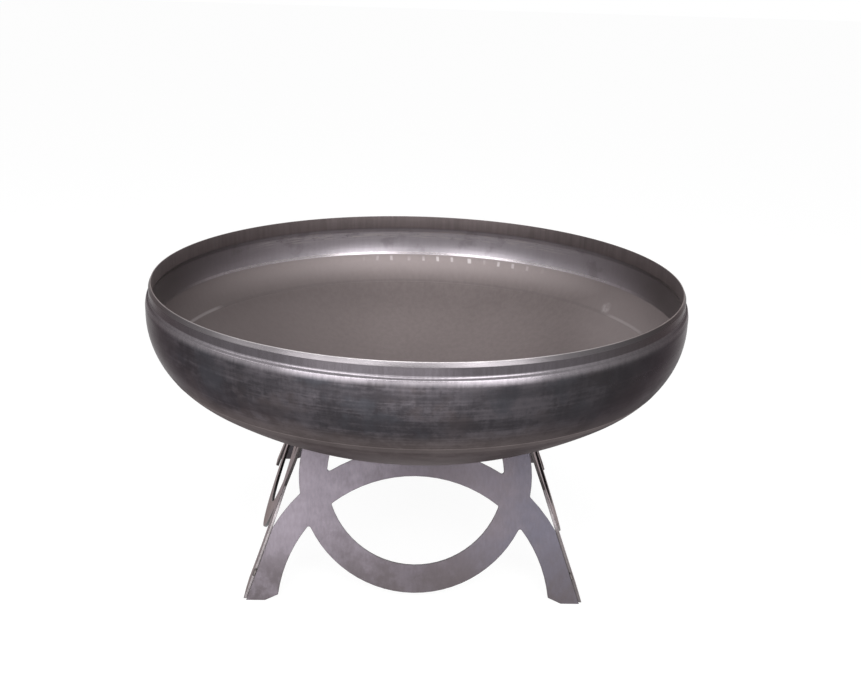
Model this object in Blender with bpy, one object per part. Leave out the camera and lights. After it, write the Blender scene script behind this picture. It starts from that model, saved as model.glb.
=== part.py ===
"""Steel fire pit: a dished bowl resting on a base of four leaning, laser-cut plates.

Metres, +Z up. The origin is on the floor at the centre of the base, and the front
plate faces -Y. Every plate is the same flat profile, an upright ring overlapping a
leg arch, and its upper edge is cut to the circle in which it meets the bowl.
"""

import math
from typing import NamedTuple

import bmesh
import bpy
from mathutils import Matrix, Vector

# Bowl, outside sizes
BOWL_RADIUS = 0.4572
BOWL_WALL = 0.00476
BOWL_HEIGHT_OFF_FLOOR = 0.1877
CROWN_RADIUS = 0.7011
KNUCKLE_RADIUS = 0.1378
FLANGE_HEIGHT = 0.0515
DRAIN_RADIUS = 0.0064

# Stepped rim at the top of the bowl's flange
RIM_INSET = 0.0062
RIM_BAND_HEIGHT = 0.0234
RIM_BEVEL_HEIGHT = 0.0067
RIM_LAND = 0.0016
RIM_BLEND_HEIGHT = 0.0034
RIM_BLEND_WIDTH = 0.0018
RIM_GROOVE_WIDTH = 0.0006
RIM_GROOVE_DEPTH = 0.0005
SHOULDER_DROP = 0.0128
SHOULDER_ROUND = 0.0040
SHOULDER_ROUND_START = math.radians(65.0)
SHOULDER_BEND = 0.0180

# Base plates: u runs across the plate and v up its slope, both from the foot line.
# The arch's circle passes the plate's side line and the bowl seat by small amounts.
BASE_HALF_WIDTH = 0.275
PLATE_THICKNESS = 0.00476
PLATE_LEAN = math.radians(20.0)
ARCH_BAND = 0.0458
ARCH_SIDE_OVERRUN = 0.0054
ARCH_CREST_OVERRUN = 0.0205
RING_BAND = 0.0455
RING_BOTTOM_RISE = 0.0148
FOOT_LENGTH = 0.0300
FOOT_CHAMFER_HEIGHT = 0.0095
OPENING_FILLET = 0.0034
NOTCH_FILLET = 0.0015

# Welds in the four corners of the base
WELD_LEG = 0.0055
WELD_BOTTOM = 0.020
WELD_LENGTH = 0.080
TACK_HEIGHT = 0.0405
TACK_LENGTH = 0.011
TACK_DEPTH = 0.0044
BEAD_END_SHARE = 0.35
BEAD_BULGE_SHARE = 0.12

# Clearance between pieces that touch
FIT_GAP = 0.0003

# Fineness of round shapes
BOWL_STEPS = 80
CROWN_SEGMENTS = 12
KNUCKLE_SEGMENTS = 9
INNER_STEP_SEGMENTS = 5
RIM_BLEND_SEGMENTS = 3
SHOULDER_ROUND_SEGMENTS = 4
SHOULDER_BEND_SEGMENTS = 2
PLATE_ARC_STEP = math.radians(5.0)
FILLET_SEGMENTS = 4
WELD_SECTIONS = 9
WELD_FACE_SEGMENTS = 5
SHARP_ANGLE = math.radians(30.0)

SIDES = ("front", "right", "back", "left")


def clear_scene():
    """Remove whatever the opened file holds."""
    for item in list(bpy.data.objects):
        bpy.data.objects.remove(item, do_unlink=True)


def make_material(name, colour, roughness, metallic):
    """Return a Principled BSDF material with the given colour and finish."""
    material = bpy.data.materials.new(name)
    material.use_nodes = True
    shader = material.node_tree.nodes["Principled BSDF"]
    shader.inputs["Base Color"].default_value = (*colour, 1.0)
    shader.inputs["Roughness"].default_value = roughness
    shader.inputs["Metallic"].default_value = metallic
    return material


def add_object(name, bm, material):
    """Turn a bmesh into a named object with outward faces and one material."""
    bmesh.ops.recalc_face_normals(bm, faces=bm.faces[:])
    mesh = bpy.data.meshes.new(name)
    bm.to_mesh(mesh)
    bm.free()
    mesh.materials.append(material)
    mesh.shade_smooth()
    mesh.set_sharp_from_angle(angle=SHARP_ANGLE)
    item = bpy.data.objects.new(name, mesh)
    bpy.context.scene.collection.objects.link(item)
    return item


# Bowl profile, as points (radius, height)

def knuckle_height():
    """Height of the knuckle's centre, where the crown runs smoothly into the knuckle."""
    reach = BOWL_RADIUS - KNUCKLE_RADIUS
    rise = math.sqrt((CROWN_RADIUS - KNUCKLE_RADIUS) ** 2 - reach ** 2)
    return BOWL_HEIGHT_OFF_FLOOR + CROWN_RADIUS - rise


def crown_centre_height():
    """Height of the centre of the bowl's spherical crown."""
    return BOWL_HEIGHT_OFF_FLOOR + CROWN_RADIUS


def arc_points(centre, radius, start, end, segments):
    """Points of a circular arc, both ends included."""
    angles = [start + (end - start) * i / segments for i in range(segments + 1)]
    return [(centre[0] + radius * math.cos(a), centre[1] + radius * math.sin(a)) for a in angles]


def dished_surface(inset):
    """Knuckle and crown from the flange down to the drain hole, set in by the wall."""
    knuckle = (BOWL_RADIUS - KNUCKLE_RADIUS, knuckle_height())
    crown = (0.0, crown_centre_height())
    join = -math.atan2(crown[1] - knuckle[1], knuckle[0])
    crown_radius = CROWN_RADIUS - inset
    drain = -math.acos(DRAIN_RADIUS / crown_radius)
    points = arc_points(knuckle, KNUCKLE_RADIUS - inset, 0.0, join, KNUCKLE_SEGMENTS)
    points += arc_points(crown, crown_radius, join, drain, CROWN_SEGMENTS)[1:]
    return points


def blend_points(band, crease):
    """Hollow blend that leads from the foot of the band out to the groove."""
    turn = 2.0 * math.atan(RIM_BLEND_WIDTH / RIM_BLEND_HEIGHT)
    radius = RIM_BLEND_HEIGHT / math.sin(turn)
    centre = (band + radius, crease + RIM_BLEND_HEIGHT)
    return arc_points(centre, radius, math.pi, math.pi + turn, RIM_BLEND_SEGMENTS)


def shoulder_taper(round_centre, bend_centre):
    """Angle off upright of the flank that touches the shoulder's round and its bend."""
    across = round_centre[0] - bend_centre[0]
    up = round_centre[1] - bend_centre[1]
    share = (SHOULDER_BEND - SHOULDER_ROUND) / math.hypot(across, up)
    return math.atan2(up, across) - math.acos(share)


def shoulder_points(edge, foot):
    """Rounded edge, tapering flank and slow bend into the flange below."""
    start = SHOULDER_ROUND_START
    round_centre = (edge[0] - SHOULDER_ROUND * math.cos(start), edge[1] - SHOULDER_ROUND * math.sin(start))
    bend_centre = (BOWL_RADIUS - SHOULDER_BEND, foot)
    taper = shoulder_taper(round_centre, bend_centre)
    points = arc_points(round_centre, SHOULDER_ROUND, start, taper, SHOULDER_ROUND_SEGMENTS)
    return points + arc_points(bend_centre, SHOULDER_BEND, taper, 0.0, SHOULDER_BEND_SEGMENTS)


def outer_rim(top):
    """Bevelled lip, narrower band, groove and tapering shoulder on the outside."""
    band = BOWL_RADIUS - RIM_INSET
    crease = top - RIM_BAND_HEIGHT
    lip = [(band - BOWL_WALL + RIM_LAND, top), (band, top - RIM_BEVEL_HEIGHT)]
    blend = blend_points(band, crease)
    ledge = blend[-1][0]
    groove = (ledge + 0.5 * RIM_GROOVE_WIDTH, crease - RIM_GROOVE_DEPTH)
    edge = (ledge + RIM_GROOVE_WIDTH, crease)
    return lip + blend + [groove] + shoulder_points(edge, crease - SHOULDER_DROP)


def inner_rim(top):
    """Inside of the same step: a smooth bend from the band out to the wall below it."""
    band = BOWL_RADIUS - RIM_INSET - BOWL_WALL
    crease = top - RIM_BAND_HEIGHT
    points = [(band, top)]
    for i in range(INNER_STEP_SEGMENTS + 1):
        share = i / INNER_STEP_SEGMENTS
        out = 0.5 * RIM_INSET * (1.0 - math.cos(math.pi * share))
        points.append((band + out, crease - SHOULDER_DROP * share))
    return points


def bowl_profile():
    """Closed outline of the wall: down the outside, then up the inside."""
    top = knuckle_height() + FLANGE_HEIGHT
    outside = outer_rim(top) + dished_surface(0.0)
    inside = inner_rim(top) + dished_surface(BOWL_WALL)
    return outside + inside[::-1]


def build_bowl(material):
    """Turn the wall's outline about the vertical axis."""
    bm = bmesh.new()
    verts = [bm.verts.new((radius, 0.0, height)) for radius, height in bowl_profile()]
    edges = [bm.edges.new((verts[i - 1], verts[i])) for i in range(len(verts))]
    bmesh.ops.spin(bm, geom=verts + edges, cent=(0.0, 0.0, 0.0), axis=(0.0, 0.0, 1.0),
                   angle=math.tau, steps=BOWL_STEPS, use_merge=True)
    return add_object("fire_bowl", bm, material)


# Base plate outline, as points (u, v) on the plate's outer face

class Circle(NamedTuple):
    """Circle on the plate's outer face, with its centre at (0, v)."""

    v: float
    radius: float

    def grown(self, amount):
        """Return the circle with a larger radius about the same centre."""
        return Circle(self.v, self.radius + amount)

    def lowest(self):
        """Return the lowest point of the circle."""
        return (0.0, self.v - self.radius)

    def highest(self):
        """Return the highest point of the circle."""
        return (0.0, self.v + self.radius)

    def angle_of(self, point):
        """Return the angle at which a point lies, seen from the centre."""
        return math.atan2(point[1] - self.v, point[0])


def crossing(first, second):
    """Point with u > 0 in which two circles cross."""
    gap = second.v - first.v
    along = (first.radius ** 2 - second.radius ** 2 + gap ** 2) / (2.0 * gap)
    return (math.sqrt(first.radius ** 2 - along ** 2), first.v + along)


def arc_between(circle, start, end):
    """Arc of a circle from one of its points to another, in even steps."""
    first, last = circle.angle_of(start), circle.angle_of(end)
    segments = max(2, math.ceil(abs(last - first) / PLATE_ARC_STEP))
    return arc_points((0.0, circle.v), circle.radius, first, last, segments)


def fillet(first, first_side, second, second_side, radius):
    """Small arc that touches two circles, each from outside (+1) or inside (-1)."""
    centre = crossing(first.grown(first_side * radius), second.grown(second_side * radius))
    start = first.angle_of(centre) + (math.pi if first_side > 0 else 0.0)
    end = second.angle_of(centre) + (math.pi if second_side > 0 else 0.0)
    turn = (end - start + math.pi) % math.tau - math.pi
    return arc_points(centre, radius, start, start + turn, FILLET_SEGMENTS)


def side_line(v):
    """Half width of the plate at v: its inner edge meets its neighbour's in the corner."""
    foot = BASE_HALF_WIDTH - PLATE_THICKNESS * math.cos(PLATE_LEAN) - FIT_GAP / math.sqrt(2.0)
    return foot - v * math.sin(PLATE_LEAN)


def side_slope():
    """Angle on the plate between the side line and straight up the slope."""
    return math.atan(math.sin(PLATE_LEAN))


def side_distance(v):
    """Distance from the point (0, v) to the side line."""
    return side_line(v) * math.cos(side_slope())


def side_line_crossing(circle):
    """Upper point in which the side line meets a circle."""
    angle = side_slope() + math.acos(side_distance(circle.v) / circle.radius)
    return (circle.radius * math.cos(angle), circle.v + circle.radius * math.sin(angle))


def seat_circle():
    """Circle in which the plate's outer face would cut the crown, with the fit gap."""
    sphere = Vector((0.0, BASE_HALF_WIDTH, crown_centre_height()))
    up_slope = Vector((0.0, math.sin(PLATE_LEAN), math.cos(PLATE_LEAN)))
    through = Vector((0.0, math.cos(PLATE_LEAN), -math.sin(PLATE_LEAN)))
    off_plane = sphere.dot(through)
    radius = math.sqrt((CROWN_RADIUS + FIT_GAP) ** 2 - off_plane ** 2)
    return Circle(sphere.dot(up_slope), radius)


def ring_circle():
    """Outer edge of the ring, which just touches the side lines."""
    radius = side_distance(RING_BOTTOM_RISE) / (1.0 + math.sin(side_slope()))
    return Circle(RING_BOTTOM_RISE + radius, radius)


def arch_circle():
    """Outer edge of the arch, which passes the side lines and the seat by its overruns."""
    crest = seat_circle().lowest()[1] + ARCH_CREST_OVERRUN
    reach = side_distance(0.0) + ARCH_SIDE_OVERRUN
    centre = (crest - reach) / (1.0 - math.sin(side_slope()))
    return Circle(centre, crest - centre)


def leg_points(arch, arch_inner):
    """Chamfered foot, drawn one thickness below the floor, and the leg's outer edge."""
    below = -PLATE_THICKNESS
    chamfer_rise = FOOT_CHAMFER_HEIGHT - arch_inner.v
    chamfer_top = math.sqrt(arch_inner.radius ** 2 - chamfer_rise ** 2)
    foot_inner = side_line(0.0) - FOOT_LENGTH
    run = (foot_inner - chamfer_top) / FOOT_CHAMFER_HEIGHT
    return [
        (chamfer_top, FOOT_CHAMFER_HEIGHT),
        (foot_inner - below * run, below),
        (side_line(below), below),
        side_line_crossing(arch),
    ]


def chain(arcs):
    """Join arcs end to end, with each shared end once."""
    points = [point for arc in arcs for point in arc[:-1]]
    return points + arcs[-1][-1:]


def half_outline():
    """Right half of the outer edge, from the ring's lowest point up to the bowl seat."""
    seat = seat_circle()
    ring = ring_circle()
    ring_inner = ring.grown(-RING_BAND)
    arch = arch_circle()
    arch_inner = arch.grown(-ARCH_BAND)
    apex = fillet(ring, 1, arch_inner, -1, OPENING_FILLET)
    notch = fillet(arch, 1, ring, 1, NOTCH_FILLET)
    window = fillet(ring_inner, -1, arch, 1, OPENING_FILLET)
    leg = leg_points(arch, arch_inner)
    return chain([
        arc_between(ring, ring.lowest(), apex[0]),
        apex,
        arc_between(arch_inner, apex[-1], leg[0]),
        leg,
        arc_between(arch, leg[-1], notch[0]),
        notch,
        arc_between(ring, notch[-1], crossing(seat, ring)),
        arc_between(seat, crossing(seat, ring), crossing(seat, ring_inner)),
        arc_between(ring_inner, crossing(seat, ring_inner), window[0]),
        window,
        arc_between(arch, window[-1], crossing(seat, arch)),
        arc_between(seat, crossing(seat, arch), seat.lowest()),
    ])


def eye_outline():
    """The pointed opening between the ring and the arch, as a closed loop."""
    ring_inner = ring_circle().grown(-RING_BAND)
    arch_inner = arch_circle().grown(-ARCH_BAND)
    corner = fillet(ring_inner, -1, arch_inner, -1, OPENING_FILLET)
    return mirror_closed(chain([
        arc_between(ring_inner, ring_inner.lowest(), corner[0]),
        corner,
        arc_between(arch_inner, corner[-1], arch_inner.highest()),
    ]))


def mirror_closed(half):
    """Close a right half outline with its mirror image."""
    return half + [(-u, v) for u, v in half[-2:0:-1]]


def loop_edges(bm, points):
    """Add a closed loop of edges on the plate's outer face."""
    verts = [bm.verts.new((u, 0.0, v)) for u, v in points]
    return [bm.edges.new((verts[i - 1], verts[i])) for i in range(len(verts))]


def plate_mesh():
    """Flat plate in its own frame: u along X, v along Z, thickness towards +Y."""
    bm = bmesh.new()
    edges = loop_edges(bm, mirror_closed(half_outline()))
    edges += loop_edges(bm, eye_outline())
    bmesh.ops.triangle_fill(bm, use_beauty=True, use_dissolve=False, edges=edges)
    solid = bmesh.ops.extrude_face_region(bm, geom=bm.faces[:])
    inner = [item for item in solid["geom"] if isinstance(item, bmesh.types.BMVert)]
    bmesh.ops.translate(bm, verts=inner, vec=(0.0, PLATE_THICKNESS, 0.0))
    return bm


def trim_to_floor(bm):
    """Cut the feet level with the floor and close the cuts."""
    geometry = bm.verts[:] + bm.edges[:] + bm.faces[:]
    cut = bmesh.ops.bisect_plane(bm, geom=geometry, plane_co=(0.0, 0.0, 0.0),
                                 plane_no=(0.0, 0.0, -1.0), clear_outer=True)
    edges = [item for item in cut["geom_cut"] if isinstance(item, bmesh.types.BMEdge)]
    bmesh.ops.edgeloop_fill(bm, edges=edges)


def build_plate(side, material):
    """Lean one plate inward, stand it on its side of the base and trim its feet."""
    bm = plate_mesh()
    lean = Matrix.Rotation(-PLATE_LEAN, 4, "X")
    place = Matrix.Translation((0.0, -BASE_HALF_WIDTH, 0.0))
    bmesh.ops.transform(bm, matrix=place @ lean, verts=bm.verts[:])
    trim_to_floor(bm)
    item = add_object("base_plate_" + SIDES[side], bm, material)
    item.rotation_euler.z = side * 0.5 * math.pi
    return item


# Corner welds, lofted through level sections that follow the leaning corner

def inner_face_distance(height):
    """Level distance from the base's axis to a plate's inner face."""
    return BASE_HALF_WIDTH - height * math.tan(PLATE_LEAN) - PLATE_THICKNESS / math.cos(PLATE_LEAN)


def loft(bm, sections):
    """Skin a stack of sections with equal point counts and cap both ends."""
    rings = [[bm.verts.new(point) for point in section] for section in sections]
    for lower, upper in zip(rings, rings[1:]):
        for i in range(len(lower)):
            bm.faces.new((lower[i - 1], lower[i], upper[i], upper[i - 1]))
    bm.faces.new(rings[0][::-1])
    bm.faces.new(rings[-1])


def bead_sections(bottom, length, section):
    """Level sections up a corner, swelling from small ends to full size."""
    sections = []
    for i in range(WELD_SECTIONS):
        share = -math.cos(math.pi * i / (WELD_SECTIONS - 1))
        height = bottom + 0.5 * length * (1.0 + share)
        fullness = math.sqrt(max(0.0, 1.0 - share ** 4))
        size = BEAD_END_SHARE + (1.0 - BEAD_END_SHARE) * fullness
        corner = -inner_face_distance(height)
        sections.append([(corner + x, corner + y, height) for x, y in section(size)])
    return sections


def fillet_section(size):
    """Section of the bead inside the corner, clear of both inner faces."""
    leg = WELD_LEG * size
    points = [(FIT_GAP, FIT_GAP)]
    for i in range(WELD_FACE_SEGMENTS + 1):
        share = i / WELD_FACE_SEGMENTS
        bulge = BEAD_BULGE_SHARE * leg * math.sin(math.pi * share)
        points.append((FIT_GAP + leg * (1.0 - share) + bulge, FIT_GAP + leg * share + bulge))
    return points


def tack_section(size):
    """Section of the tack in the open groove, clear of both cut edges."""
    depth = TACK_DEPTH * size
    flare = math.sin(PLATE_LEAN) ** 2
    start = -2.0 * FIT_GAP
    points = [(start, start)]
    for i in range(WELD_FACE_SEGMENTS + 1):
        turn = 0.5 * math.pi * i / WELD_FACE_SEGMENTS
        x = start - depth * (math.cos(turn) + flare * math.sin(turn))
        y = start - depth * (math.sin(turn) + flare * math.cos(turn))
        points.append((x, y))
    return points


def build_corner(side, material):
    """Inner fillet bead and outer tack between a plate and its neighbour to the left."""
    corner = SIDES[side] + "_" + SIDES[side - 1]
    items = []
    for name, bottom, length, section in (
            ("fillet_weld_", WELD_BOTTOM, WELD_LENGTH, fillet_section),
            ("tack_weld_", TACK_HEIGHT - 0.5 * TACK_LENGTH, TACK_LENGTH, tack_section)):
        bm = bmesh.new()
        loft(bm, bead_sections(bottom, length, section))
        item = add_object(name + corner, bm, material)
        item.rotation_euler.z = side * 0.5 * math.pi
        items.append(item)
    return items


def main():
    """Build the bowl, the four plates and the corner welds."""
    clear_scene()
    bowl_steel = make_material("bowl_steel", (0.13, 0.12, 0.125), 0.42, 0.9)
    plate_steel = make_material("plate_steel", (0.30, 0.28, 0.31), 0.5, 0.85)
    weld_steel = make_material("weld_steel", (0.16, 0.14, 0.14), 0.55, 0.8)
    build_bowl(bowl_steel)
    for side in range(len(SIDES)):
        build_plate(side, plate_steel)
        build_corner(side, weld_steel)


main()
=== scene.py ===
"""Looks of a steel fire pit: a dished bowl resting in a base of four leaning plates.

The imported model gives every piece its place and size. The bowl is turned here from a
finer outline of the same wall, the plates and welds are softened copies of their solids,
and each surface gets the finish of raw hot-rolled steel that it has on the real one.
"""

from __future__ import annotations

import logging
import math
from dataclasses import dataclass, field
from enum import Enum

import bmesh
import bpy
from mathutils import Matrix, Vector


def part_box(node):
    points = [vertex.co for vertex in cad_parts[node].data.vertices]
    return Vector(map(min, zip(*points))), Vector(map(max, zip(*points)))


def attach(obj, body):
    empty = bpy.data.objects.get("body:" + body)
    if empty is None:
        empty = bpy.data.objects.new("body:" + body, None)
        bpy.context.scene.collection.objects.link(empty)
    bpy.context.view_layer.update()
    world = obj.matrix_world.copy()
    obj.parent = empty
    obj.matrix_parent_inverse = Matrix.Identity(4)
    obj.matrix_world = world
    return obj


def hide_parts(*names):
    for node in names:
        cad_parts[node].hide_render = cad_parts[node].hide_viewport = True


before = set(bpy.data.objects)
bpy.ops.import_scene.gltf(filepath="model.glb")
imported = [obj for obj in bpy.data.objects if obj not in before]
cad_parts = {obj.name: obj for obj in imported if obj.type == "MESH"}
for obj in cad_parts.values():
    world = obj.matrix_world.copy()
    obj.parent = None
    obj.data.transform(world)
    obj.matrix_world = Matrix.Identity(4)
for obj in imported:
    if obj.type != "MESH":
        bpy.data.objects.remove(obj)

LOG = logging.getLogger("fire_pit")
MERGE_DISTANCE = 0.00001
CORNER_STEPS = 4

Socket = bpy.types.NodeSocket
Material = bpy.types.Material
Pair = tuple[float, float]
Triple = tuple[float, float, float]
Point = Pair
Colour = Triple

WHITE: Colour = (1.0, 1.0, 1.0)
ORIGIN: Triple = (0.0, 0.0, 0.0)


class Side(Enum):
    """A side of the square base, with its turn from the front in quarter turns."""

    FRONT = 0
    RIGHT = 1
    BACK = 2
    LEFT = 3

    @property
    def word(self) -> str:
        """Name of the side as the nodes spell it."""
        return self.name.lower()

    @property
    def turn(self) -> float:
        """Turn about the vertical axis from the front side, in radians."""
        return 0.5 * math.pi * self.value

    @property
    def corner(self) -> str:
        """Name of the corner between this side and the one before it."""
        return f"{self.word}_{Side((self.value - 1) % 4).word}"


class Bead(Enum):
    """The two kinds of weld in a corner of the base."""

    FILLET = "fillet_weld_"
    TACK = "tack_weld_"


class BowlZone(Enum):
    """Surfaces of the bowl that have a finish of their own, by material index."""

    OUTSIDE = 0
    INSIDE = 1
    LIP = 2


class PlateZone(Enum):
    """Surfaces of a base plate that have a finish of their own, by material index."""

    FACE = 0
    BURNT_EDGE = 1
    CORNER_EDGE = 2


class Canvas:
    """Places and links the nodes of one node tree."""

    def __init__(self, tree: bpy.types.NodeTree) -> None:
        """Keep the tree, a material's, a world's or a group's, that nodes are added to."""
        self.tree = tree

    def node(self, kind: str, inputs: dict[str | int, object] | None = None,
             **settings: object) -> bpy.types.Node:
        """Add a node.

        Args:
            kind: Blender's name of the node type.
            inputs: What to feed to its inputs, by name or index.
            **settings: Properties to set on the node.

        Returns:
            The new node.
        """
        made = self.tree.nodes.new(kind)
        for name, value in settings.items():
            setattr(made, name, value)
        for key, value in (inputs or {}).items():
            self.feed(made.inputs[key], value)
        return made

    def feed(self, socket: Socket, value: object) -> None:
        """Link a socket to another, or set its plain value.

        Args:
            socket: The input socket to feed.
            value: An output socket, a number or a tuple.
        """
        if isinstance(value, Socket):
            self.tree.links.new(value, socket)
        else:
            socket.default_value = value

    def math(self, operation: str, *values: Socket | float) -> Socket:
        """Work on values with a Math node, given Blender's name of the operation."""
        return self.node("ShaderNodeMath", dict(enumerate(values)), operation=operation).outputs[0]

    def times(self, first: Socket | float, second: Socket | float) -> Socket:
        """Multiply two values."""
        return self.math("MULTIPLY", first, second)

    def weighed(self, *parts: tuple[Socket, float]) -> Socket:
        """Add up values, each times its weight.

        Args:
            *parts: Pairs of a socket and its weight.

        Returns:
            The sum.
        """
        total, *others = [self.times(value, weight) for value, weight in parts]
        for part in others:
            total = self.math("ADD", total, part)
        return total

    def smooth(self, value: Socket, low: Socket | float, high: Socket | float) -> Socket:
        """Rise smoothly from 0 at low to 1 at high, or fall if low is the higher of the two."""
        inputs = {"Value": value, "From Min": low, "From Max": high}
        return self.node("ShaderNodeMapRange", inputs, interpolation_type="SMOOTHSTEP").outputs["Result"]

    def blend(self, share: Socket | float, first: Socket | float, second: Socket | float) -> Socket:
        """Mix two numbers, the first where the share is 0 and the second where it is 1."""
        return self.node("ShaderNodeMix", {0: share, 2: first, 3: second}, data_type="FLOAT").outputs[0]

    def tint(self, share: Socket, first: Socket | Colour, second: Socket | Colour) -> Socket:
        """Mix two colours, the first where the share is 0 and the second where it is 1."""
        first, second = (value if isinstance(value, Socket) else (*value, 1.0) for value in (first, second))
        return self.node("ShaderNodeMix", {0: share, 6: first, 7: second}, data_type="RGBA").outputs[2]

    def noise(self, vector: Socket, scale: Socket | float, detail: float, roughness: float) -> Socket:
        """Add a noise texture of so many patches per metre and octaves, about 0.5 on average."""
        inputs = {"Vector": vector, "Scale": scale, "Detail": detail, "Roughness": roughness}
        return self.node("ShaderNodeTexNoise", inputs).outputs["Fac"]

    def stretched(self, vector: Socket, stretch: Socket | Triple) -> Socket:
        """Scale coordinates by factors along X, Y and Z."""
        return self.node("ShaderNodeVectorMath", {0: vector, 1: stretch}, operation="MULTIPLY").outputs[0]

    def rotated(self, vector: Socket, angles: Triple) -> Socket:
        """Turn coordinates about X, Y and Z by angles in radians."""
        inputs = {"Vector": vector, "Rotation": angles}
        return self.node("ShaderNodeMapping", inputs, vector_type="POINT").outputs["Vector"]

    def axes(self, vector: Socket) -> list[Socket]:
        """Split coordinates into X, Y and Z."""
        return list(self.node("ShaderNodeSeparateXYZ", {0: vector}).outputs)


class Effects:
    """Shader node groups that several finishes share, each built once."""

    def __init__(self) -> None:
        """Build the groups."""
        self.clouds = self._clouds()
        self.streaks = self._streaks()
        self.band = self._band()
        self.specks = self._specks()

    @staticmethod
    def _label(name: str) -> str:
        """Spell a keyword as the name of a group's input."""
        return name.replace("_", " ").capitalize()

    def place(self, canvas: Canvas, group: bpy.types.NodeTree, **values: object) -> Socket:
        """Put a group into a material.

        Args:
            canvas: The material's canvas.
            group: The group to place.
            **values: Its inputs by name, with spaces as underscores.

        Returns:
            The group's mask.
        """
        inputs = {self._label(name): value for name, value in values.items()}
        return canvas.node("ShaderNodeGroup", inputs, node_tree=group).outputs["Mask"]

    def _group(self, name: str, **inputs: object) -> tuple[Canvas, list[Socket]]:
        """Start a group with named inputs and one mask output.

        Args:
            name: Name of the group.
            **inputs: Starting values by name, numbers or three numbers.

        Returns:
            The group's canvas, and the sockets of its inputs in the order given.
        """
        tree = bpy.data.node_groups.new(name, "ShaderNodeTree")
        for key, value in inputs.items():
            kind = "NodeSocketVector" if isinstance(value, tuple) else "NodeSocketFloat"
            socket = tree.interface.new_socket(name=self._label(key), in_out="INPUT", socket_type=kind)
            socket.default_value = value
        tree.interface.new_socket(name="Mask", in_out="OUTPUT", socket_type="NodeSocketFloat")
        canvas = Canvas(tree)
        given = canvas.node("NodeGroupInput").outputs
        return canvas, [given[self._label(key)] for key in inputs]

    @staticmethod
    def _closed(canvas: Canvas, mask: Socket) -> bpy.types.NodeTree:
        """Give the mask out of a group, which is then finished."""
        canvas.node("NodeGroupOutput", {"Mask": mask})
        return canvas.tree

    def _clouds(self) -> bpy.types.NodeTree:
        """Soft blotches of mill scale, with smaller ones inside them."""
        c, (vector, scale, contrast) = self._group("clouded_scale", vector=ORIGIN, scale=10.0, contrast=0.2)
        large = c.noise(vector, scale, 3.0, 0.5)
        fine = c.noise(vector, c.times(scale, 4.3), 5.0, 0.65)
        low, high = c.math("SUBTRACT", 0.5, contrast), c.math("ADD", 0.5, contrast)
        return self._closed(c, c.smooth(c.blend(0.35, large, fine), low, high))

    def _streaks(self) -> bpy.types.NodeTree:
        """Lines and smears drawn out along one direction."""
        c, (vector, stretch, low, high) = self._group(
            "drawn_streaks", vector=ORIGIN, stretch=(1.0, 1.0, 1.0), low=0.4, high=0.6)
        lines = c.noise(c.stretched(vector, stretch), 1.0, 5.0, 0.6)
        return self._closed(c, c.smooth(lines, low, high))

    def _band(self) -> bpy.types.NodeTree:
        """One band around a value, full inside and soft at both ends."""
        c, (value, centre, half_width, softness) = self._group(
            "level_band", value=0.0, centre=0.0, half_width=0.01, softness=0.001)
        off = c.math("ABSOLUTE", c.math("SUBTRACT", value, centre))
        return self._closed(c, c.smooth(off, c.math("ADD", half_width, softness), half_width))

    def _specks(self) -> bpy.types.NodeTree:
        """Small scattered spots, such as grit, dings and rubbed points."""
        c, (vector, scale, size, amount) = self._group(
            "scattered_specks", vector=ORIGIN, scale=60.0, size=0.15, amount=0.3)
        cells = c.node("ShaderNodeTexVoronoi", {"Vector": vector, "Scale": scale})
        near = c.smooth(cells.outputs["Distance"], size, 0.0)
        return self._closed(c, c.times(near, c.math("LESS_THAN", cells.outputs["Color"], amount)))


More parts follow.
